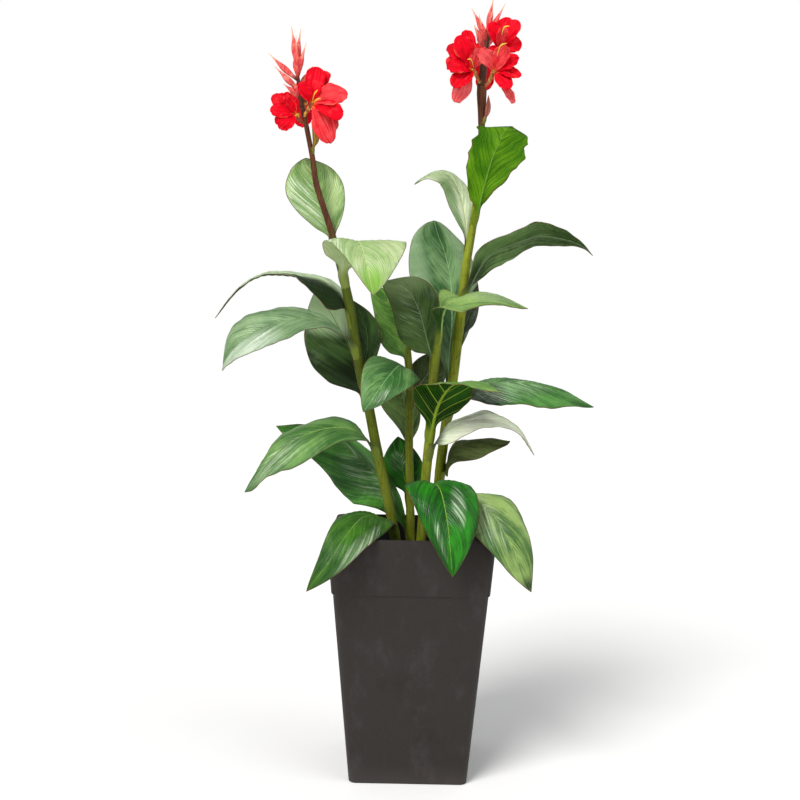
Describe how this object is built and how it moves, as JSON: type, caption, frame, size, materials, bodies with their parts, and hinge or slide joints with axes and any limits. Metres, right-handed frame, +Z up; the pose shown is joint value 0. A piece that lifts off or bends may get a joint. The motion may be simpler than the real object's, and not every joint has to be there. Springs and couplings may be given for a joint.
{
  "type": "canna lily plant in a planter",
  "caption": "Canna lily plant with broad leaves and two red flower heads, standing in soil in a tall tapered square planter.",
  "frame": {"origin": "centre of the planter's flat underside", "axes": "+Z up from the underside to the flower heads, -Y towards the side that the picture shows, +X to the right in it"},
  "size_m": [0.8339, 0.4219, 1.6901],
  "materials": {
    "planter": "matte",
    "soil": "matte",
    "stem": "satin",
    "dark_leaf": "satin",
    "mid_leaf": "satin",
    "grey_leaf": "satin",
    "pale_leaf": "satin",
    "bright_leaf": "satin",
    "bract": "satin",
    "bud": "satin",
    "petal": "satin"
  },
  "bodies": {
    "root": {"planter": "planter", "soil": "soil", "stem_left": "stem", "stem_centre": "stem", "stem_young": "stem", "stem_right": "stem", "leaf_left_upright": "pale_leaf", "leaf_left_pale": "pale_leaf", "leaf_left_arching": "grey_leaf", "leaf_left_glossy": "mid_leaf", "leaf_left_broad": "dark_leaf", "leaf_left_behind": "dark_leaf", "leaf_left_low": "mid_leaf", "leaf_centre_drooping": "mid_leaf", "leaf_centre_upright": "bright_leaf", "leaf_centre_pale": "pale_leaf", "leaf_centre_behind": "dark_leaf", "leaf_centre_low": "dark_leaf", "leaf_centre_inner": "dark_leaf", "leaf_young_broad": "grey_leaf", "leaf_young_bright": "bright_leaf", "leaf_young_veined": "dark_leaf", "leaf_young_slender": "pale_leaf", "leaf_right_tall": "grey_leaf", "leaf_right_narrow": "dark_leaf", "leaf_right_long": "dark_leaf", "leaf_right_nodding": "grey_leaf", "leaf_right_top": "bright_leaf", "leaf_right_outer": "mid_leaf", "leaf_right_striped": "dark_leaf", "leaf_planter_left": "mid_leaf", "leaf_planter_front": "mid_leaf", "leaf_planter_right": "mid_leaf", "bract_left": "bract", "bract_right": "bract", "buds_left": "bud", "buds_right": "bud", "bloom_left_front": "petal", "bloom_left_side": "petal", "bloom_left_back": "petal", "bloom_right_side": "petal", "bloom_right_top": "petal", "bloom_right_low": "petal", "bloom_right_back": "petal"}
  },
  "joints": []
}
